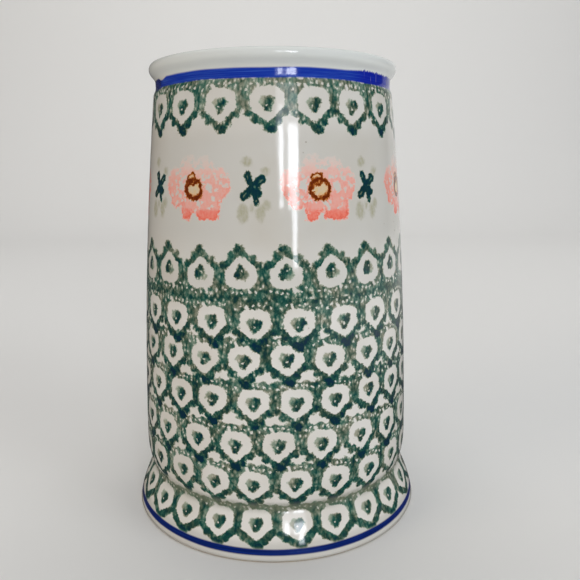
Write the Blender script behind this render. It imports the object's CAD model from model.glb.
import math
from collections import namedtuple

import bpy
import numpy as np
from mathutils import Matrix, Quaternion, Vector


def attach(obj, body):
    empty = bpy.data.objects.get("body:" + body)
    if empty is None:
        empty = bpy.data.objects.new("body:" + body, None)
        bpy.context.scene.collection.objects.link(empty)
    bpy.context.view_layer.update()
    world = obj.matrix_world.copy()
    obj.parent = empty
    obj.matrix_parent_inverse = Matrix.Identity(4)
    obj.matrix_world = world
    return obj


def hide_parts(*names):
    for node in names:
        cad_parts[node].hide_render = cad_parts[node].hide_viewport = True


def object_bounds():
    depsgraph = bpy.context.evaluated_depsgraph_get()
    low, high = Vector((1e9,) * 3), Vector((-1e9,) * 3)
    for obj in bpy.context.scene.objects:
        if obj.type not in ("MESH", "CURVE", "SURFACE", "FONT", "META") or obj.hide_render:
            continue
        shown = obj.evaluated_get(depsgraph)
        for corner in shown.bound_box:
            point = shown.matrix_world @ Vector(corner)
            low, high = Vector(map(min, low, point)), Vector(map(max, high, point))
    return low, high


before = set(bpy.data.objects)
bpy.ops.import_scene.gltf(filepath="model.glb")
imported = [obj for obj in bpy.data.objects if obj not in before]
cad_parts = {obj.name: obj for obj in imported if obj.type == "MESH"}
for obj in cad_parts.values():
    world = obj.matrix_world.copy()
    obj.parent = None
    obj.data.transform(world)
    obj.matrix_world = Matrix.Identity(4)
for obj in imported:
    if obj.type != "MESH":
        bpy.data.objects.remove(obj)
cad_bounds = [list(corner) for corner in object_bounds()]

# The mug's looks: lathed and swept meshes in place of the packed clay and glaze, and a procedural
# material that prints the hand-stamped decoration under a clear gloss glaze. The frame is in metres.
# Pattern sizes are in millimetres, because the shader works on positions scaled by PER_METRE.
PER_METRE = 1000.0
MM = 1 / PER_METRE

# --- the vessel's outline, as in the CAD source --------------------------------------------------------
GLAZE = 0.35
WALL = 4.6
HEIGHT = 145.0
BARE_EDGE = 0.5
FOOT_RADIUS = 48.9
FOOT_TOP = (44.1, 13.3)
WALL_BASE = (44.1, 15.6)
HIP = (45.45, 27.0)
MIDDLE = (43.2, 80.0)
SHOULDER = (38.4, 135.6)
NECK_RADIUS, NECK_LOW, NECK_HIGH = 37.6, 138.2, 139.8
LIP = (39.5, 143.5)
CREST_RADIUS = 38.4
FOOT_LEAN, FLANK_LEAN, TUCK_LEAN, SHOULDER_LEAN = -0.20, -0.50, 0.42, -0.11
LIP_THICKNESS = 3.7
INNER_LIP_HEIGHT = 142.3
FLOOR = 11.0
CORNER_WIDTH, CORNER_HEIGHT = 9.0, 11.0
RING_INNER = 43.8
RECESS_RADIUS, RECESS_HEIGHT = 41.4, 3.6
REST_OUTER, REST_INNER = 48.4, 44.6

# --- mesh detail and the hand-made unevenness ----------------------------------------------------------
SEGMENTS = 288              # steps round a turned mesh
FEWEST_POINTS = 4           # on any stretch of an outline
BACK_DETAIL, BODY_DETAIL = 0.3, 0.5     # share of the points on faces that the glaze hides
ON_AXIS = 1e-6
WOBBLE_FADE = 12.0          # radius within which a turned mesh's wobble dies out towards the axis


def bend(start, leave, end, arrive, steps, pull=0.38):
    """Points on a smooth curve that leaves start and arrives at end in the given directions."""
    start, end = np.array(start, float), np.array(end, float)
    leave, arrive = np.array(leave, float), np.array(arrive, float)
    reach = np.linalg.norm(end - start) * pull
    first = start + leave / np.linalg.norm(leave) * reach
    last = end - arrive / np.linalg.norm(arrive) * reach
    t = np.linspace(0, 1, steps, endpoint=False)[:, None]
    return start * (1 - t) ** 3 + 3 * first * t * (1 - t) ** 2 + 3 * last * t**2 * (1 - t) + end * t**3


def arc(start, through, end, steps):
    """Points on the circular arc through three points."""
    (ax, ay), (bx, by), (cx, cy) = start, through, end
    d = 2 * (ax * (by - cy) + bx * (cy - ay) + cx * (ay - by))
    a2, b2, c2 = ax * ax + ay * ay, bx * bx + by * by, cx * cx + cy * cy
    centre = np.array([a2 * (by - cy) + b2 * (cy - ay) + c2 * (ay - by),
                       a2 * (cx - bx) + b2 * (ax - cx) + c2 * (bx - ax)]) / d
    radius = np.hypot(ax - centre[0], ay - centre[1])
    first = math.atan2(ay - centre[1], ax - centre[0])
    last = math.atan2(cy - centre[1], cx - centre[0])
    turn = (last - first + math.pi) % (2 * math.pi) - math.pi
    angles = first + turn * np.linspace(0, 1, steps, endpoint=False)
    return centre + radius * np.stack([np.cos(angles), np.sin(angles)], 1)


def inward(point, coat):
    return (point[0] - coat, point[1])


def point_counts(detail):
    """A rule for how many points a stretch gets, from its number of points at full detail."""
    return lambda full: max(FEWEST_POINTS, round(full * detail))


def outside_line(coat, detail=1.0):
    """Radius and height up the outside, from the edge of the glaze to the crest, set back by coat."""
    n = point_counts(detail)
    foot = (FOOT_RADIUS - coat, BARE_EDGE)
    foot_top, wall_base = inward(FOOT_TOP, coat), inward(WALL_BASE, coat)
    hip, middle = inward(HIP, coat), inward(MIDDLE, coat)
    shoulder, lip = inward(SHOULDER, coat), inward(LIP, coat)
    groove_low, groove_high = (NECK_RADIUS - coat, NECK_LOW), (NECK_RADIUS - coat, NECK_HIGH)
    crest = (CREST_RADIUS, HEIGHT - coat)
    return np.concatenate([
        bend(foot, (FOOT_LEAN, 1), foot_top, (FLANK_LEAN, 1), n(20)),
        bend(foot_top, (FLANK_LEAN, 1), wall_base, (TUCK_LEAN, 1), n(8)),
        bend(wall_base, (TUCK_LEAN, 1), hip, (0, 1), n(14)),
        arc(hip, middle, shoulder, n(60)),
        bend(shoulder, (SHOULDER_LEAN, 1), groove_low, (0, 1), n(10)),
        np.linspace(groove_low, groove_high, n(4), endpoint=False),
        bend(groove_high, (0, 1), lip, (0, 1), n(14)),
        bend(lip, (0, 1), crest, (-1, 0), n(12)),
        [crest],
    ])


def inside_line(coat, detail=1.0):
    """Radius and height from the crest down the inside to the middle of the floor, set back by coat."""
    n = point_counts(detail)
    floor = FLOOR - coat
    crest = (CREST_RADIUS, HEIGHT - coat)
    lip = (LIP[0] - LIP_THICKNESS + coat, INNER_LIP_HEIGHT)
    shoulder, middle = inward(SHOULDER, WALL - coat), inward(MIDDLE, WALL - coat)
    hip = (HIP[0] - WALL + coat, FLOOR + CORNER_HEIGHT)
    base = (HIP[0] - WALL - CORNER_WIDTH, floor)
    return np.concatenate([
        bend(crest, (-1, 0), lip, (0, -1), n(12)),
        bend(lip, (0, -1), shoulder, (-SHOULDER_LEAN, -1), n(16)),
        arc(shoulder, middle, hip, n(50)),
        bend(hip, (0, -1), base, (-1, 0), n(24)),
        np.linspace(base, (0, floor), n(12)),
    ])


def underside_line(coat):
    """Radius and height of the recess, from the inner edge of the rest ring to the axis."""
    rim = (RING_INNER + coat, BARE_EDGE)
    shoulder = (RECESS_RADIUS + coat, RECESS_HEIGHT + coat)
    return np.concatenate([np.linspace(rim, shoulder, 6, endpoint=False),
                           np.linspace(shoulder, (0, RECESS_HEIGHT + coat), 14)])


# --- mesh building -------------------------------------------------------------------------------------
def hand_turned(radius, height, angle):
    """A thrown pot is never quite round: small slow wobbles of its radius, in millimetres."""
    slow = 0.07 * np.sin(2 * angle + 0.7) + 0.05 * np.sin(3 * angle + height * 0.021)
    rings = 0.018 * np.sin(height * 0.82 + 0.6 * np.sin(angle))
    return radius + (slow + rings) * np.clip(radius / WOBBLE_FADE, 0, 1)


def new_piece(name, verts, faces, material):
    """An object on the mug's one body, from points in millimetres."""
    mesh = bpy.data.meshes.new(name)
    mesh.from_pydata((np.asarray(verts) * MM).tolist(), [], faces)
    mesh.validate()
    mesh.materials.append(material)
    mesh.polygons.foreach_set("use_smooth", [True] * len(mesh.polygons))
    piece = bpy.data.objects.new(name, mesh)
    bpy.context.scene.collection.objects.link(piece)
    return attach(piece, "root")


def lathe(name, outline, material, closed):
    """Turned mesh from radius and height pairs. A closed outline is a ring. An open one is left open at
    any end that is off the axis."""
    angle = np.linspace(0, 2 * math.pi, SEGMENTS, endpoint=False)
    rows, verts, index = [], [], 0
    for radius, height in outline:
        if radius < ON_AXIS:
            verts.append((0.0, 0.0, height))
            rows.append([index])
            index += 1
            continue
        r = hand_turned(radius, height, angle)
        verts.extend(zip(r * np.sin(angle), -r * np.cos(angle), np.full(SEGMENTS, height)))
        rows.append(list(range(index, index + SEGMENTS)))
        index += SEGMENTS
    faces = []
    pairs = list(zip(rows, rows[1:])) + ([(rows[-1], rows[0])] if closed else [])
    for low, high in pairs:
        for i in range(SEGMENTS):
            j = (i + 1) % SEGMENTS
            if len(low) == 1 and len(high) == 1:
                continue
            if len(low) == 1:
                faces.append((low[0], high[j], high[i]))
            elif len(high) == 1:
                faces.append((low[i], low[j], high[0]))
            else:
                faces.append((low[i], low[j], high[j], high[i]))
    return new_piece(name, verts, faces, material)


# --- handle --------------------------------------------------------------------------------------------
STRAP_WIDTH, STRAP_DEPTH, STRAP_TAIL = 20.0, 8.5, 0.86
ROOT_HIGH, ROOT_LOW, ROOT_RADIUS = 115.0, 39.0, 34.0
REACH, RISE = 90.0, 8.0
ROOT_FLARE = 3.4            # how far the strap spreads into the wall, as the luting slip does
FLARE_LENGTH, FLARE_CURVE = 13.0, 2.2
STRAP_SQUARENESS = 0.86     # below 1 the oval's edges are fuller
THUMB_GROOVE = 0.35         # depth of the groove each side of the strap's low ridge
END_INSET_HIGH, END_INSET_LOW = 36.9, 42.0      # radii, inside the wall, at which the strap's mesh ends


def strap_centre(t):
    """Points and directions along the strap's centre line, a fourth-degree curve in the Y-Z plane."""
    control = np.array([(ROOT_RADIUS, ROOT_HIGH), (REACH - 18, ROOT_HIGH + RISE),
                        (REACH, (ROOT_HIGH + ROOT_LOW) / 2 + 14), (REACH - 14, ROOT_LOW + 5),
                        (ROOT_RADIUS + 4, ROOT_LOW)])
    degree = len(control) - 1
    weights = [math.comb(degree, k) * t**k * (1 - t) ** (degree - k) for k in range(degree + 1)]
    points = sum(w[:, None] * c for w, c in zip(weights, control))
    direction = np.gradient(points, t, axis=0)
    return points, direction / np.linalg.norm(direction, axis=1)[:, None]


def strap_handle(material, stations=150, around=72):
    """The glazed strap: an oval section that tapers down its length and spreads at both roots."""
    t = np.linspace(0, 1, 2000)
    path, _ = strap_centre(t)
    far = int(np.argmax(path[:, 0]))
    first = np.interp(END_INSET_HIGH, path[:far, 0], t[:far])
    last = np.interp(-END_INSET_LOW, -path[far:, 0], t[far:])
    t = np.linspace(first, last, stations)
    centre, along = strap_centre(t)
    run = np.concatenate([[0], np.cumsum(np.linalg.norm(np.diff(centre, axis=0), axis=1))])
    phi = np.linspace(0, 2 * math.pi, around, endpoint=False)
    side, up = np.cos(phi), np.sin(phi)
    verts = []
    for i in range(stations):
        drawn = 1 - (1 - STRAP_TAIL) * t[i]
        from_wall = min(run[i], run[-1] - run[i]) - WALL / 2
        flare = ROOT_FLARE * np.clip(1 - from_wall / FLARE_LENGTH, 0, 1.1) ** FLARE_CURVE
        half_width = STRAP_WIDTH * drawn / 2 + GLAZE + flare * 1.1
        half_depth = STRAP_DEPTH * drawn / 2 + GLAZE + flare
        outward = np.array([-along[i, 1], along[i, 0]])
        across = half_width * np.sign(side) * np.abs(side) ** STRAP_SQUARENESS
        # Drawing the strap out by hand leaves a shallow groove each side of a low ridge.
        grooved = half_depth * up - THUMB_GROOVE * np.cos(2 * phi - math.pi / 2) * up * np.abs(side)
        uneven = 0.12 * np.sin(run[i] * 0.11) + 0.08 * np.sin(phi * 2 + run[i] * 0.07)
        for x, d in zip(across, grooved + uneven):
            y, z = centre[i] + outward * d
            verts.append((x, y, z))
    faces = []
    for i in range(stations - 1):
        for k in range(around):
            a, b = i * around + k, i * around + (k + 1) % around
            faces.append((a, a + around, b + around, b))
    faces.append(tuple(range(around)))
    faces.append(tuple(reversed(range((stations - 1) * around, stations * around))))
    return new_piece("strap_handle", verts, faces, material)


# --- shader arithmetic ---------------------------------------------------------------------------------
class Num:
    """A number inside a shader. Arithmetic on it adds maths nodes, so that a pattern reads as a formula."""

    def __init__(self, tree, socket):
        self.tree, self.socket = tree, socket

    def op(self, operation, *others, flip=False, clamp=False):
        node = self.tree.nodes.new("ShaderNodeMath")
        node.operation, node.use_clamp = operation, clamp
        terms = (self, *others)
        feed(node, terms[::-1] if flip else terms)
        return Num(self.tree, node.outputs[0])

    def __add__(self, other): return self.op("ADD", other)
    def __radd__(self, other): return self.op("ADD", other)
    def __sub__(self, other): return self.op("SUBTRACT", other)
    def __rsub__(self, other): return self.op("SUBTRACT", other, flip=True)
    def __mul__(self, other): return self.op("MULTIPLY", other)
    def __neg__(self): return self.op("MULTIPLY", -1.0)
    def __gt__(self, other): return self.op("GREATER_THAN", other)
    def low(self, other): return self.op("MINIMUM", other)
    def high(self, other): return self.op("MAXIMUM", other)
    def fold(self): return self.op("ABSOLUTE")
    def sine(self): return self.op("SINE")
    def clamp(self): return self.op("ADD", 0.0, clamp=True)

    def ease(self, start, end):
        """0 before start and 1 after end, with a smooth step between them. End may be the smaller."""
        node = self.tree.nodes.new("ShaderNodeMapRange")
        node.interpolation_type = "SMOOTHSTEP"
        feed(node, (self, start, end))
        return Num(self.tree, node.outputs[0])


class Vec:
    """A vector inside a shader, with the few operations the patterns use."""

    def __init__(self, tree, socket):
        self.tree, self.socket = tree, socket

    def op(self, operation, *others, scale=None, number=False):
        node = self.tree.nodes.new("ShaderNodeVectorMath")
        node.operation = operation
        feed(node, (self, *others))
        if scale is not None:
            feed(node, (scale,), first=3)
        return Num(self.tree, node.outputs[1]) if number else Vec(self.tree, node.outputs[0])

    def __add__(self, other): return self.op("ADD", other)
    def __sub__(self, other): return self.op("SUBTRACT", other)
    def __mul__(self, other): return self.op("MULTIPLY", other)
    def scaled(self, factor): return self.op("SCALE", scale=factor)
    def dot(self, other): return self.op("DOT_PRODUCT", other, number=True)

    def parts(self, *axes):
        """The components of these numbers. Each is a dot product, because a node that splits a vector
        keeps all three in the shader's small memory."""
        return [self.dot([float(axis == each) for each in range(3)]) for axis in axes]

    # Signed distances, in the vector's own units, to flat shapes in its first two axes.
    def disc(self, centre, radius):
        return self.op("DISTANCE", (*centre, 0), number=True) - radius

    def oval(self, centre, half_width, half_height):
        shrunk = (self - (*centre, 0)) * (1 / half_width, 1 / half_height, 0)
        return (shrunk.op("LENGTH", number=True) - 1.0) * min(half_width, half_height)

    def rod(self, start, end, radius):
        axis = (end[0] - start[0], end[1] - start[1], 0)
        away = self - (*start, 0)
        share = (away.dot(axis) * (1 / (axis[0] ** 2 + axis[1] ** 2))).clamp()
        return (away - vector(self.tree, *axis).scaled(share)).op("LENGTH", number=True) - radius

    def side(self, point, normal):
        """Distance past the line through a point, counted along its normal."""
        length = math.hypot(*normal)
        unit = (normal[0] / length, normal[1] / length, 0)
        return self.dot(unit) - (point[0] * unit[0] + point[1] * unit[1])


def feed(node, values, first=0):
    """Links or sets a node's inputs, in order from the first."""
    tree = node.id_data
    for slot, value in zip(list(node.inputs)[first:], values):
        if isinstance(value, (Num, Vec)):
            tree.links.new(value.socket, slot)
        else:
            slot.default_value = value


def adjust(node, **values):
    """Sets a node's inputs by their names, with underscores for spaces."""
    for label, value in values.items():
        node.inputs[label.replace("_", " ")].default_value = value


def vector(tree, x, y, z=0.0):
    node = tree.nodes.new("ShaderNodeCombineXYZ")
    feed(node, (x, y, z))
    return Vec(tree, node.outputs[0])


def fill(distance, soft=0.28):
    """1 inside a shape and 0 outside, with the soft edge that oxide bleeding into glaze has."""
    return distance.ease(soft, -soft)


def noise(where, scale, detail=2.0, rough=0.5, offset=None, stretch=None):
    """Smooth noise about 0, from about -0.5 to 0.5, and its colour as a vector about 0."""
    tree = where.tree
    if stretch is not None:
        where = where * stretch
    if offset is not None:
        where = where + (offset, offset, offset)
    node = tree.nodes.new("ShaderNodeTexNoise")
    tree.links.new(where.socket, node.inputs["Vector"])
    adjust(node, Scale=scale, Detail=detail, Roughness=rough)
    return Num(tree, node.outputs[0]) - 0.5, Vec(tree, node.outputs[1]) - (0.5, 0.5, 0.5)


def dice(where):
    """Three numbers from 0 to 1 that depend only on a whole-numbered vector."""
    node = where.tree.nodes.new("ShaderNodeTexWhiteNoise")
    where.tree.links.new(where.socket, node.inputs["Vector"])
    return Vec(where.tree, node.outputs["Color"]).parts(0, 1, 2)


def cells(where, scale, space="3D"):
    """Distance to the nearest of a scatter of points, in units of their spacing, and that point's dice."""
    node = where.tree.nodes.new("ShaderNodeTexVoronoi")
    node.voronoi_dimensions = space
    where.tree.links.new(where.socket, node.inputs["Vector"])
    adjust(node, Scale=scale)
    return Num(where.tree, node.outputs["Distance"]), Vec(where.tree, node.outputs["Color"]).parts(0)[0]


def linear(*srgb):
    """A colour from 0-255 display values to the linear values that a shader takes."""
    parts = [c / 255 for c in srgb]
    return (*[p / 12.92 if p <= 0.04045 else ((p + 0.055) / 1.055) ** 2.4 for p in parts], 1.0)


def flat(tree, colour):
    """One colour everywhere."""
    node = tree.nodes.new("ShaderNodeRGB")
    node.outputs[0].default_value = colour
    return Vec(tree, node.outputs[0])


def ramp(amount, stops):
    """Colour along a list of (amount, colour) stops, the first at 0."""
    most = stops[-1][0]
    share = amount.low(most).high(0.0) * (1 / most)
    node = amount.tree.nodes.new("ShaderNodeValToRGB")
    feed(node, (share,))
    band = node.color_ramp
    while len(band.elements) < len(stops):
        band.elements.new(0.5)
    for element, (place, colour) in zip(band.elements, stops):
        element.position = place / most
        element.color = colour
    return Vec(amount.tree, node.outputs[0])


def mixed(under, over, share):
    """Colour over laid on colour under by a share from 0 to 1."""
    node = share.tree.nodes.new("ShaderNodeMix")
    node.data_type = "RGBA"
    feed(node, (share,))
    feed(node, (under, over), first=6)
    return Vec(share.tree, node.outputs[2])


def subpattern(name, inputs, outputs, build):
    """A node group: build gets the group's inputs by name and returns its outputs in order."""
    tree = bpy.data.node_groups.new(name, "ShaderNodeTree")
    for label, kind in inputs:
        tree.interface.new_socket(label, in_out="INPUT", socket_type=f"NodeSocket{kind}")
    for label, kind in outputs:
        tree.interface.new_socket(label, in_out="OUTPUT", socket_type=f"NodeSocket{kind}")
    entry, leave = tree.nodes.new("NodeGroupInput"), tree.nodes.new("NodeGroupOutput")
    wrap = {"Float": Num, "Vector": Vec}
    given = [wrap[kind](tree, out) for (_, kind), out in zip(inputs, entry.outputs)]
    for result, slot in zip(build(*given), leave.inputs):
        tree.links.new(result.socket, slot)
    return tree


def stamped(pattern, *values):
    """One use of a node group, with its outputs as numbers."""
    tree = values[0].tree
    node = tree.nodes.new("ShaderNodeGroup")
    node.node_tree = pattern
    feed(node, values)
    return [Num(tree, out) for out in node.outputs]


# --- decoration ----------------------------------------------------------------------------------------
# Ink is given as a thickness: about 0.3 fires to a thin olive, 1 to a full green, 2 to a blue-black.
# A row of stamps has the height of its eyes, its number of stamps, the angle of its first one in degrees
# from the front, 1 for upright or -1 for upside down, its weight of ink, how many times flatter its stamps
# are, and how far the crown reaches above the eye. Neighbouring rows overlap, so they are laid down in two
# sets.
Row = namedtuple("Row", "height count lead turn weight squeeze crown")
HIGHER_ROWS = [
    Row(23.3, 23, 6.9, 1, 1, 1, 6.2),
    Row(48.3, 23, 6.8, 1, 1, 1, 6.2),
    Row(71.1, 21, 8.9, 1, 1, 1, 7.0),
    Row(130.7, 19, -3.3, 1, 0.9, 1, 6.8),
]
LOWER_ROWS = [
    Row(10.4, 24, 6.8, 1, 1, 1.15, 6.2),
    Row(35.4, 22, 0.6, 1, 1, 1, 6.2),
    Row(60.5, 22, 4.3, 1, 1, 1, 6.2),
    Row(84.4, 21, 4.7, -1, 1, 1, 7.4),
]
ARM_THICKNESS = 1.7         # of the V under each eye
FLOWERS, FLOWER_LEAD = 7, 17.6
BLOSSOM_HEIGHT, SPRIG_HEIGHT = 109.0, 108.5
FRIEZE_LOW, FRIEZE_HIGH, FRIEZE_FADE = 93.5, 123.0, 2.5
STRAP_MIDDLE = (42.0, 78.0)     # centre that the strap bends round, Y and Z
STRAP_OUTSIDE = (34.0, 37.0)    # how far from that centre the outer face of the strap starts
DABS_PER_TURN, DABS_EACH_WAY, DABS_RADIUS = 30, 5, 40.0
LIP_GLAZE = (139.0, 141.0)
COBALT_BAND = (137.3, 140.0)
NAVY_BAND = (2.1, 3.95)
CREASE_HEIGHT = 15.1
RING_RADIUS = 44.0          # turns angles round the wall into lengths along it
SPREAD = 0.8                # how far a stamp may land from its place

CREAM = linear(208, 205, 197)
STAMPED_CREAM = linear(229, 225, 217)
LIP_CREAM = linear(222, 224, 219)
CLOUD = linear(196, 186, 168)
IRON = linear(120, 96, 72)
OCHRE = linear(222, 190, 140)
OLIVE_WASH = linear(176, 172, 148)
CREASE_WASH = linear(116, 122, 100)
COBALT, THIN_COBALT = linear(20, 52, 162), linear(68, 110, 204)
DRY_COBALT, HEAVY_COBALT = linear(2, 18, 156), linear(8, 14, 84)
NAVY, THIN_NAVY = linear(2, 28, 94), linear(20, 56, 146)
SAND, PALE_SAND, PIT = linear(178, 156, 126), linear(214, 198, 170), linear(110, 84, 60)
GREENS = [
    (0.0, linear(212, 214, 202)),
    (0.3, linear(168, 178, 158)),
    (0.55, linear(128, 146, 128)),
    (0.8, linear(88, 120, 104)),
    (1.05, linear(50, 96, 82)),
    (1.4, linear(20, 72, 64)),
    (1.8, linear(8, 50, 62)),
    (2.3, linear(4, 44, 66)),
]
OLIVES = [
    (0.0, linear(214, 210, 198)),
    (0.3, linear(178, 172, 152)),
    (0.55, linear(142, 138, 118)),
    (0.8, linear(108, 112, 92)),
    (1.05, linear(72, 86, 68)),
    (1.4, linear(36, 62, 52)),
    (1.8, linear(12, 50, 56)),
    (2.3, linear(4, 42, 60)),
]
PINKS = [
    (0.0, linear(236, 222, 210)),
    (0.25, linear(232, 202, 190)),
    (0.5, linear(236, 180, 166)),
    (0.85, linear(242, 150, 134)),
    (1.15, linear(244, 128, 108)),
    (1.5, linear(232, 100, 80)),
]
BROWNS = [
    (0.0, linear(230, 190, 140)),
    (0.35, linear(206, 132, 66)),
    (0.65, linear(150, 74, 20)),
    (1.0, linear(106, 38, 6)),
]


def outline_radius(height):
    line = outside_line(0)
    return float(np.interp(height, line[:, 1], line[:, 0]))


def eye_stamp(p, strength, crown, arm):
    """Ink of one hanging peacock-eye stamp at p, in millimetres from the centre of its eye."""
    u, v = p.parts(0, 1)
    # The shield of bare clay round the eye: a rounded square drawn down to a point, with a tab at its
    # upper left.
    away = ((p - (0.3, -0.2, 0)) * (1 / 4.65, 1 / 4.3, 0)).parts(0, 1)
    square = (away[0].fold().op("POWER", 3.0) + away[1].fold().op("POWER", 3.0)).op("POWER", 1 / 3.0)
    left_v = p.side((-4.8, -1.3), (-3.7, -4.5))
    right_v = p.side((5.2, -1.0), (3.9, -4.4))
    shield = ((square - 1.0) * 4.5).high(left_v).high(right_v)
    bare = fill(-shield.low(p.rod((-1.5, 3.6), (-2.1, 4.9), 0.5)))
    # The field behind it, a crown above and columns at the sides, with open bubbles in the crown.
    crown_edge = v - crown + (u * 1.7).sine() * 0.35
    ink = fill((u.fold() - 6.7).high(crown_edge).high(-v - 1.7), 0.4) * 0.74
    for bubble in ((0.1, 5.1), (1.6, 5.2), (3.1, 4.9), (4.9, 4.4), (-3.7, 5.0), (-5.2, 3.9)):
        ink = ink * fill(-p.disc(bubble, 0.36), 0.22)
    # The V under it: a solid bar each side, dabs along them, and a heavy blue-black tip.
    below = v + 1.5
    right_bar = fill((right_v - arm).high(-right_v).high(below).high(-0.4 - u).high(u - 6.2), 0.35)
    left_bar = fill((left_v - arm).high(-left_v).high(below).high(u - 0.6).high(-u - 6.0), 0.35)
    ink = ink.high(right_bar * 1.15).high(left_bar)
    for place, radius, weight in (
        ((5.0, -2.8), 1.1, 1.3), ((2.6, -5.3), 1.1, 1.5), ((0.9, -7.0), 1.25, 1.95),
        ((-0.2, -6.4), 1.1, 1.65), ((-5.2, -2.4), 1.05, 1.15), ((-3.5, -4.4), 1.05, 1.2),
    ):
        ink = ink.high(fill(p.disc(place, radius), 0.5) * weight)
    ink = ink * bare
    # The eye: a flat-topped heart that darkens from left to right, with one bare dot.
    heart = p.side((0.1, 1.5), (0.1, 1))
    heart = heart.high(p.side((-2.3, 0.2), (-3.3, -2.3))).high(p.side((2.5, 0.2), (3.3, -2.3)))
    eye = fill(heart.high(p.disc((0.05, -0.3), 2.25)), 0.45) * ((u - v * 0.5).ease(-1.5, 1.3) + 0.42)
    eye = eye * (1.0 - fill(p.disc((0.0, -0.9), 0.32), 0.2) * 0.95)
    return [(ink + eye) * strength]


def pick(height, rows, values):
    """The value for the row that a height falls in, from one value a row. The rows run upwards."""
    result = None
    for low, high, before, after in zip(rows, rows[1:], values, values[1:]):
        step = (height > (low.height + high.height) / 2) * (after - before)
        result = step + values[0] if result is None else result + step
    return result


def overlaid(first, second):
    """Ink where two prints overlap: the heavier of them, and a little of the other."""
    return first.high(second) + first.low(second) * 0.4


def eye_rows(angle, height, warp, rows, pattern):
    """Ink of a set of stamp rows: each point reads the stamp it is nearest to and the next one along."""
    turns = pick(height, rows, [r.count / (2 * math.pi) for r in rows])
    lead = pick(height, rows, [r.count * r.lead / 360 for r in rows])
    pitch = pick(height, rows, [2 * math.pi * outline_radius(r.height) / r.count for r in rows])
    level = pick(height, rows, [r.height for r in rows])
    turn = pick(height, rows, [r.turn for r in rows])
    weight = pick(height, rows, [r.weight for r in rows])
    squeeze = pick(height, rows, [r.squeeze for r in rows])
    crown = pick(height, rows, [r.crown for r in rows])
    arm = squeeze * squeeze * ARM_THICKNESS
    place = angle * turns - lead
    nearest = place.op("ROUND")
    offset = place - nearest
    next_along = offset.op("SIGN")
    count = turns * (2 * math.pi)
    inks = []
    for index, along in ((nearest, offset), (nearest + next_along, offset - next_along)):
        # The row wraps round, so the last stamp before the back is the first one after it.
        wrapped = (index + 0.5).op("FLOORED_MODULO", count).op("FLOOR")
        shift, sink, press = dice(vector(angle.tree, wrapped, level, 3.0))
        lean = (shift + sink - 1.0) * 0.12
        u = along * pitch + (shift - 0.5) * SPREAD
        v = (height - level) * squeeze + (sink - 0.5) * SPREAD
        local = vector(angle.tree, (u - v * lean) * turn, (v + u * lean) * turn) + warp
        inks += stamped(pattern, local, (press * 0.3 + 0.85) * weight, crown, arm)
    return overlaid(*inks)


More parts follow.
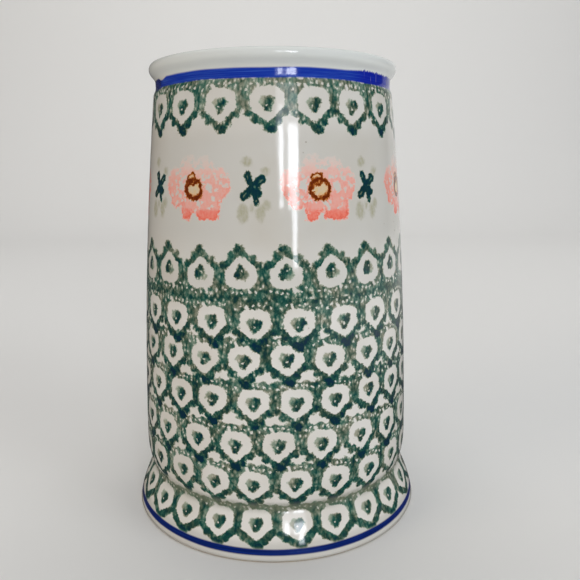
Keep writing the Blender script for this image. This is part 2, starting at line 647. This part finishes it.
def flower_marks(angle, height, warp, tree):
    """Ink of the sponged pink blossoms, of their brown loops and ochre hearts, and of the green sprigs."""
    place = angle * (FLOWERS / (2 * math.pi)) - FLOWERS * FLOWER_LEAD / 360
    pitch = 2 * math.pi * outline_radius(SPRIG_HEIGHT) / FLOWERS
    nearest = place.op("ROUND")
    shift, sink, press = dice(vector(tree, nearest, 5.0, 1.0))
    rise = height - BLOSSOM_HEIGHT + (sink - 0.5) * 0.3
    local = vector(tree, (place - nearest) * pitch + (shift - 0.5) * 0.5, rise)
    petal = local + warp.scaled(1.6)
    v, = petal.parts(1)
    shape = petal.oval((6.8, 0.0), 5.0, 5.2)
    for middle, half_width, half_height in (
        ((3.6, 4.6), 3.4, 3.4), ((-1.9, 5.2), 3.2, 3.2), ((-6.8, 0.2), 4.2, 4.9),
        ((-6.4, -3.8), 2.8, 3.0), ((-0.6, -5.2), 3.4, 2.8),
    ):
        shape = shape.low(petal.oval(middle, half_width, half_height))
    # The two lower lobes end flat, with a notch between them.
    lobes = petal.oval((4.9, -6.4), 4.2, 4.2).low(petal.oval((-2.4, -6.9), 2.0, 4.0)).high(-v - 9.7)
    shape = shape.low(lobes).high(-petal.rod((0.5, -10.4), (0.4, -8.2), 0.75))
    inside = fill(shape, 0.35)
    body = v.ease(9.0, -1.0) * 0.42 + v.ease(-6.2, -7.8) * 0.42 + 0.14
    pooled = (shape + 0.45).fold().ease(0.5, 0.1) * v.ease(3.0, -5.0) * 0.2
    bubble, chance = cells(petal, 0.5, space="2D")
    bubbles = (bubble - chance * 0.12).ease(0.24, 0.12) * (chance > 0.3) * v.ease(-8.4, -6.8)
    pink = inside * (body + pooled) * (1.2 - bubbles * 0.95) * (press * 0.3 + 0.85)
    # Bare gaps that the stamp leaves between its petals.
    for start, end, radius in (
        ((0.9, -4.2), (2.5, -6.0), 0.55), ((5.2, -0.4), (5.3, -0.5), 1.0), ((-4.6, 0.2), (-4.4, -0.8), 0.85),
        ((7.9, 1.6), (8.0, 1.5), 0.5), ((7.9, -1.4), (8.0, -1.3), 0.55), ((1.9, 4.9), (2.1, 4.8), 0.7),
        ((-5.6, 4.0), (-5.5, 4.0), 0.45), ((3.4, 2.3), (3.4, 2.4), 0.4),
    ):
        pink = pink * (1.0 - fill(petal.rod(start, end, radius), 0.25) * 0.85)
    # The centre: an uneven brown loop round ochre, with a small open loop at its upper left.
    core = local + warp.scaled(1.3)
    big = core.oval((0.2, -1.2), 2.65, 2.65)
    small = core.oval((-0.6, 1.6), 1.5, 1.45)
    loop = fill((big.fold() - 0.62).low(small.fold() - 0.32), 0.45)
    ochre = fill(big.low(small), 0.3)
    # The sprig of four looped leaves between blossoms, with thin washes above and below it.
    # Their spacing is a little uneven round the mug.
    unevenness = (angle + math.radians(10)).sine() * math.radians(4.5)
    spot = (angle + unevenness) * (FLOWERS / (2 * math.pi)) - FLOWERS * FLOWER_LEAD / 360 - 0.5
    middle = spot.op("ROUND")
    _, drop, _ = dice(vector(tree, middle, 6.0, 2.0))
    rise = height - SPRIG_HEIGHT + (drop - 0.5) * 0.6
    sprig = vector(tree, (spot - middle) * pitch, rise) + warp.scaled(0.9)
    leaves = sprig.rod((0.0, 0.0), (-1.5, 3.3), 0.95)
    for tip, radius in (((2.7, 2.2), 1.15), ((-2.7, -2.5), 1.1), ((1.2, -4.0), 0.8), ((1.8, -1.6), 1.15)):
        leaves = leaves.low(sprig.rod((0.2, 0.0), tip, radius))
    slits = sprig.rod((-1.2, 2.3), (-1.5, 3.1), 0.2)
    for start, end in (
        ((2.0, 1.5), (2.7, 2.0)), ((-1.8, -1.7), (-2.6, -2.4)),
        ((0.8, 0.1), (0.9, 0.0)), ((1.2, -3.7), (1.2, -4.0)),
    ):
        slits = slits.low(sprig.rod(start, end, 0.22))
    green = fill(leaves, 0.3) * (1.75 - fill(slits, 0.3) * 1.1)
    washes = sprig.oval((-1.6, 6.8), 1.5, 1.25)
    for middle, half_width, half_height in (
        ((-2.9, -7.0), 1.7, 2.5), ((2.4, -6.9), 1.3, 2.2), ((4.0, -4.9), 1.2, 1.4),
        ((3.9, 4.2), 1.2, 1.0), ((-0.2, -5.5), 0.6, 1.0),
    ):
        washes = washes.low(sprig.oval(middle, half_width, half_height))
    return pink, loop, ochre, green, fill(washes, 0.6)


def glazed(name, paint):
    """Clear gloss glaze over fired colour: paint adds the colour and returns it with a height for relief."""
    material = bpy.data.materials.new(name)
    material.use_nodes = True
    tree = material.node_tree
    shader = tree.nodes["Principled BSDF"]
    spot = tree.nodes.new("ShaderNodeTexCoord")
    where = Vec(tree, spot.outputs["Object"]).scaled(PER_METRE)
    colour, relief = paint(tree, where)
    tree.links.new(colour.socket, shader.inputs["Base Color"])
    adjust(shader, Roughness=0.6, Specular_IOR_Level=0.0, Coat_Weight=1.0, Coat_Roughness=0.08, Coat_IOR=1.52)
    bump = tree.nodes.new("ShaderNodeBump")
    adjust(bump, Strength=1.0, Distance=MM)
    tree.links.new(relief.socket, bump.inputs["Height"])
    tree.links.new(bump.outputs["Normal"], shader.inputs["Normal"])
    tree.links.new(bump.outputs["Normal"], shader.inputs["Coat Normal"])
    return material


def clay_specks(where, colour):
    """The few iron specks that show through the glaze, and its slight cloudiness."""
    cloud, _ = noise(where, 0.045, detail=3.0)
    colour = mixed(colour, CLOUD, (cloud + 0.12).ease(0.0, 0.4) * 0.35)
    distance, chance = cells(where, 0.21)
    speck = distance.ease(0.07, 0.03) * (chance > 0.62) * 0.55
    return mixed(colour, IRON, speck)


def peel(where):
    """Height in millimetres of the glaze's faint orange peel."""
    broad, _ = noise(where, 0.09, detail=1.0)
    fine, _ = noise(where, 0.4, detail=2.0)
    return broad * 0.10 + fine * 0.012


def paint_plain(tree, where):
    """Plain glaze over clay."""
    return clay_specks(where, flat(tree, CREAM)), peel(where)


def paint_handle(tree, where):
    """Plain glaze with one column of sponged green dabs down the outside of the strap."""
    x, y, z = where.parts(0, 1, 2)
    around = (z - STRAP_MIDDLE[1]).op("ARCTAN2", y - STRAP_MIDDLE[0]) * (DABS_PER_TURN / (2 * math.pi))
    nearest = around.op("ROUND")
    ragged = noise(where, 0.62, detail=3.5, rough=0.75)[1].scaled(1.6)
    reach = (where - (0, *STRAP_MIDDLE)).op("LENGTH", number=True)
    spot = vector(tree, x, (around - nearest) * (2 * math.pi * DABS_RADIUS / DABS_PER_TURN)) + ragged
    outside = reach.ease(*STRAP_OUTSIDE) * nearest.fold().ease(DABS_EACH_WAY + 0.6, DABS_EACH_WAY + 0.4)
    mottle = noise(where, 1.1, detail=3.0, rough=0.65)[0]
    ink = fill(spot.oval((0, 0), 2.9, 2.1), 0.5) * (1.0 + mottle * 2.0) * outside
    ground = clay_specks(where, flat(tree, CREAM))
    return mixed(ground, ramp(ink, GREENS), ink.ease(0.03, 0.3)), peel(where)


def paint_decorated(tree, where):
    """The stamped outside: eye rows, flower frieze, neck band and foot band on cream."""
    x, y, height = where.parts(0, 1, 2)
    angle = x.op("ARCTAN2", -y)
    ring = vector(tree, angle * RING_RADIUS, height, 0.0)
    # Everything stamped is ragged, and a little less so on the foot.
    ragged = noise(where, 0.62, detail=3.5, rough=0.75)[1] * (2.4, 2.4, 0)
    warp = ragged.scaled(height.ease(8.0, 26.0) * 0.4 + 0.6)
    given = [("Place", "Vector"), ("Strength", "Float"), ("Crown", "Float"), ("Arm", "Float")]
    pattern = subpattern("eye_stamp", given, [("Ink", "Float")], eye_stamp)
    ink = overlaid(eye_rows(angle, height, warp, HIGHER_ROWS, pattern),
                   eye_rows(angle, height, warp, LOWER_ROWS, pattern))
    # Foam texture: streaks that run down with the glaze, mottling, and open drops with dark rims.
    mottle, _ = noise(ring, 1.1, detail=3.0, rough=0.65, stretch=(1.0, 0.62, 1.0))
    gap, chance = cells(ring * (0.95, 0.62, 1.0), 1.0)
    drops = gap.ease(0.42, 0.08) * (chance > 0.25) * 0.85 * (height.ease(24.0, 36.0) * 0.6 + 0.4)
    rims = gap.ease(0.4, 0.75) * 0.5
    field = ink.ease(0.3, 0.55) * ink.ease(1.4, 0.95)
    texture = 1.0 + mottle * (height.ease(8.0, 30.0) * 0.9 + 1.1) + (rims - drops * 0.95) * field
    pink, loop, ochre, sprig, wash = flower_marks(angle, height, warp, tree)
    frieze = height.ease(FRIEZE_LOW, FRIEZE_LOW + FRIEZE_FADE)
    frieze = frieze * height.ease(FRIEZE_HIGH, FRIEZE_HIGH - FRIEZE_FADE)
    # The upside-down row was printed with a drier tip.
    ink = ink * (1.0 - height.ease(86.5, 90.5) * height.ease(97.0, 95.0) * 0.35)
    ink = ink * texture.high(0.0) * (1.0 - frieze) * height.ease(3.4, 5.0)
    ink = ink + sprig * (1.0 + mottle * 0.7) * frieze
    # The ground is brighter among the stamps, and cooler on the lip.
    stamped_zone = height.ease(97.0, 88.0) * 0.4 + height.ease(80.0, 72.0) * 0.6
    stamped_zone = stamped_zone.high(height.ease(120.0, 127.0) * 0.45) * height.ease(4.5, 7.0)
    ground = clay_specks(where, mixed(CREAM, STAMPED_CREAM, stamped_zone))
    ground = mixed(ground, LIP_CREAM, height.ease(*LIP_GLAZE))
    olive_share = noise(where, 0.3, detail=2.0, offset=31.0)[0].ease(-0.14, 0.16) * 0.75
    fired = mixed(ramp(ink, GREENS), ramp(ink, OLIVES), olive_share)
    colour = mixed(ground, fired, ink.ease(0.03, 0.3))
    thin = wash * (mottle * 1.6 + 0.78).clamp() * (1.0 - ink.clamp()) * frieze
    colour = mixed(colour, OLIVE_WASH, thin)
    sponge = (mottle * 0.9 + 1.0) * pink * frieze
    colour = mixed(colour, ramp(sponge, PINKS), sponge.ease(0.02, 0.4))
    colour = mixed(colour, OCHRE, ochre * frieze * (mottle * 1.5 + 0.75).clamp())
    brown = loop * (mottle * 1.8 + 1.05) * frieze
    colour = mixed(colour, ramp(brown, BROWNS), brown.ease(0.05, 0.4))
    # Brushed cobalt at the neck: streaked, heavier where the brush set down, ragged where it ran dry.
    brush = noise(ring, 1.0, detail=3.0, rough=0.65, stretch=(0.05, 2.6, 1.0))[0]
    combed = noise(ring, 1.0, detail=2.0, rough=0.6, stretch=(1.1, 0.12, 1.0))[0]
    sway = noise(ring, 0.06, detail=1.0)[0]
    set_down = angle.ease(-1.50, -1.30) * angle.ease(-1.02, -1.14)
    dip = angle.ease(-1.16, -1.08) * angle.ease(-0.96, -1.06)
    dry = angle.ease(0.55, 0.8)
    low = COBALT_BAND[0] - set_down * 0.7 - dry * 0.35 + sway * 0.5
    high = COBALT_BAND[1] + sway * 0.5 - dip * 0.7 + (combed * 1.6 + 0.4) * dry
    cobalt = fill(-(height - low).low(high - height), 0.25)
    cobalt = cobalt * (1.0 - (combed - 0.12).ease(0.0, 0.2) * dry * 0.35)
    blues = mixed(COBALT, THIN_COBALT, (brush + 0.08).ease(0.0, 0.3) * 0.5)
    blues = mixed(blues, DRY_COBALT, dry * 0.75)
    blues = mixed(blues, HEAVY_COBALT, set_down * 0.75)
    colour = mixed(colour, blues, cobalt)
    # The darker band at the foot, and the thin olive wash that gathered in the crease above it.
    crease = fill((height - CREASE_HEIGHT + sway).fold() - 1.3, 1.3) * (mottle * 1.2 + 0.68)
    colour = mixed(colour, CREASE_WASH, crease.clamp())
    worn = brush * 0.35 + sway * 0.3
    navy = fill(-(height - NAVY_BAND[0] + worn).low(NAVY_BAND[1] - height + worn), 0.28)
    navies = mixed(NAVY, THIN_NAVY, (brush + 0.1).ease(0.0, 0.35) * 0.6)
    return mixed(colour, navies, navy), peel(where)


def paint_clay(tree, where):
    """Bare sandy stoneware with small pits."""
    grain, _ = noise(where, 1.6, detail=5.0, rough=0.7)
    cloud, _ = noise(where, 0.08, detail=3.0)
    sandy = mixed(SAND, PALE_SAND, (grain + cloud + 0.5).ease(0.2, 0.8))
    distance, chance = cells(where, 0.5)
    pits = distance.ease(0.12, 0.05) * (chance > 0.6)
    return mixed(sandy, PIT, pits * 0.6), grain * 0.06 - pits * 0.05


def bare_clay(name):
    material = glazed(name, paint_clay)
    adjust(material.node_tree.nodes["Principled BSDF"], Roughness=0.85, Coat_Weight=0.0)
    return material


# --- the mug -------------------------------------------------------------------------------------------
decorated_glaze = glazed("decorated_glaze", paint_decorated)
plain_glaze = glazed("plain_glaze", paint_plain)
clay = bare_clay("bare_stoneware")

outer = lathe(
    "outer_glaze_coat",
    np.concatenate([outside_line(0), outside_line(GLAZE, BACK_DETAIL)[::-1]]),
    decorated_glaze,
    closed=True,
)
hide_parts("outer_glaze")

# The edge of the inner coat is left open at the crest, where it meets the outer coat.
inner = lathe(
    "inner_glaze_coat",
    np.concatenate([inside_line(0), inside_line(GLAZE, BACK_DETAIL)[::-1]]),
    plain_glaze,
    closed=False,
)
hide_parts("inner_glaze")

body_outline = np.concatenate([
    [(0.0, RECESS_HEIGHT + GLAZE)],
    underside_line(GLAZE)[::-1][1:],
    [(REST_INNER, 0.0), (REST_OUTER, 0.0)],
    outside_line(GLAZE, BODY_DETAIL),
    inside_line(GLAZE, BODY_DETAIL)[1:],
])
body = lathe("stoneware_body", body_outline, clay, closed=False)
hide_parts("vessel_body")

underside = lathe(
    "underside_glaze_coat",
    np.concatenate([underside_line(GLAZE)[::-1], underside_line(0)]),
    plain_glaze,
    closed=False,
)
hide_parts("underside_glaze")

handle = strap_handle(glazed("handle_glaze", paint_handle))
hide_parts("handle_glaze", "handle_strap", "upper_handle_slip", "lower_handle_slip")


# --- stage ---------------------------------------------------------------------------------------------
PALE_SHEET, DIM_SHEET = linear(222, 221, 218), linear(70, 70, 74)
WARM, COOL, DAYLIGHT, ROOM = (1.0, 0.88, 0.74), (0.95, 0.98, 1.0), (0.88, 0.92, 1.0), (0.9, 0.93, 1.0)
ROOM_LIGHT, ROOM_DIMMED, ROOM_SEEN = 0.18, 0.12, 0.5   # in general, less in the glaze, more to the camera
WINDOW_AWAY = 1.5                                      # metres from the mug's axis to the mirrored window
WINDOW_AIM = (0, 0, 0.11)


def backdrop():
    """A pale sheet: floor in front, swept up in a wide curve behind the mug."""
    half, front, back, sweep, wall_top = 1.6, -0.6, 0.75, 0.55, 2.2
    profile = [(front, 0.0), (back, 0.0)]
    for a in np.linspace(0.1, math.pi / 2, 16):
        profile.append((back + sweep * math.sin(a), sweep * (1 - math.cos(a))))
    profile.append((back + sweep, wall_top))
    verts = [(side * half, y, z) for y, z in profile for side in (-1, 1)]
    faces = [(2 * i, 2 * i + 1, 2 * i + 3, 2 * i + 2) for i in range(len(profile) - 1)]
    mesh = bpy.data.meshes.new("backdrop")
    mesh.from_pydata(verts, [], faces)
    mesh.polygons.foreach_set("use_smooth", [True] * len(faces))
    sheet = bpy.data.objects.new("backdrop", mesh)
    bpy.context.scene.collection.objects.link(sheet)
    paper = bpy.data.materials.new("pale_paper")
    paper.use_nodes = True
    shader = paper.node_tree.nodes["Principled BSDF"]
    # The glaze mirrors a dim sheet, as if the mug stood on dark cloth, and a pale one to the right.
    spot = paper.node_tree.nodes.new("ShaderNodeTexCoord")
    across = Vec(paper.node_tree, spot.outputs["Object"]).parts(0)[0]
    ray = paper.node_tree.nodes.new("ShaderNodeLightPath")
    mirrored = Num(paper.node_tree, ray.outputs["Is Glossy Ray"]) * across.ease(0.4, 0.1)
    paper_colour = mixed(PALE_SHEET, DIM_SHEET, mirrored)
    paper.node_tree.links.new(paper_colour.socket, shader.inputs["Base Color"])
    adjust(shader, Roughness=0.75)
    mesh.materials.append(paper)


def softbox(name, place, target, width, height, power, colour=(1, 1, 1), mirrored=True):
    lamp = bpy.data.lights.new(name, "AREA")
    lamp.shape, lamp.size, lamp.size_y = "RECTANGLE", width, height
    lamp.energy, lamp.color = power, colour
    thing = bpy.data.objects.new(name, lamp)
    bpy.context.scene.collection.objects.link(thing)
    thing.location = place
    thing.rotation_euler = (Vector(target) - Vector(place)).to_track_quat("-Z", "Y").to_euler()
    thing.visible_glossy = mirrored


mug_height = cad_bounds[1][2]
centre = Vector((0, 0, mug_height * 0.55))      # what the broad lights are turned to

backdrop()
# Broad light that the glaze does not mirror, warmer on the left and cooler on the right.
softbox("overhead", (0.1, -0.3, 1.2), centre, 1.0, 1.0, 2.9, mirrored=False)
softbox("left_fill", (-1.5, -0.75, 0.6), centre, 0.9, 0.9, 8.2, WARM, mirrored=False)
softbox("right_key", (1.45, -0.9, 0.8), centre, 0.9, 0.9, 9.2, COOL, mirrored=False)
softbox("backdrop_wash", (0.0, 0.45, 1.3), (0, 0.95, 0.1), 1.6, 0.4, 9.0, mirrored=False)
# A window behind the camera that the glaze does mirror: two tall panes, the foot of the wider one, and a
# pale haze round them.
for name, across, width, low, high, power in (
    ("pane_narrow", 0.17, 0.095, 0.27, 0.53, 0.9),
    ("pane_wide", 0.445, 0.24, 0.27, 0.53, 2.5),
    ("pane_tail", 0.465, 0.10, 0.06, 0.27, 0.8),
    ("haze", 0.33, 0.55, 0.30, 0.95, 3.0),
):
    place = (across, -WINDOW_AWAY, (low + high) / 2)
    softbox(name, place, WINDOW_AIM, width, high - low, power, DAYLIGHT)

world = bpy.data.worlds.new("studio")
world.use_nodes = True
background = world.node_tree.nodes["Background"]
background.inputs["Color"].default_value = (*ROOM, 1)
# The room itself is dim in the glaze, which mirrors mostly the window, and pale beyond the sheet's edge.
ray = world.node_tree.nodes.new("ShaderNodeLightPath")
mirrored_share = Num(world.node_tree, ray.outputs["Is Glossy Ray"])
seen_share = Num(world.node_tree, ray.outputs["Is Camera Ray"])
strength = ROOM_LIGHT - mirrored_share * ROOM_DIMMED + seen_share * ROOM_SEEN
world.node_tree.links.new(strength.socket, background.inputs["Strength"])
bpy.context.scene.world = world

# The camera stands close, a little below the lip, and looks down on the front of the mug.
CAMERA_DISTANCE, CAMERA_RISE = 1.439, 0.7857    # in mug heights
PITCH, YAW, ROLL = math.radians(11.42), math.radians(1.42), math.radians(-0.32)
FOCAL_LENGTH = 37.93                            # millimetres, on the default 36 mm sensor

lens = bpy.data.cameras.new("camera")
lens.lens = FOCAL_LENGTH
lens.clip_start = 0.01
camera = bpy.data.objects.new("camera", lens)
bpy.context.scene.collection.objects.link(camera)
camera.location = (0, -CAMERA_DISTANCE * mug_height, CAMERA_RISE * mug_height)
forward = Vector((math.sin(YAW) * math.cos(PITCH), math.cos(YAW) * math.cos(PITCH), -math.sin(PITCH)))
aim = forward.to_track_quat("-Z", "Y")
camera.rotation_mode = "QUATERNION"
camera.rotation_quaternion = aim @ Quaternion((0, 0, 1), ROLL)
bpy.context.scene.camera = camera
bpy.context.scene.view_settings.view_transform = "Standard"
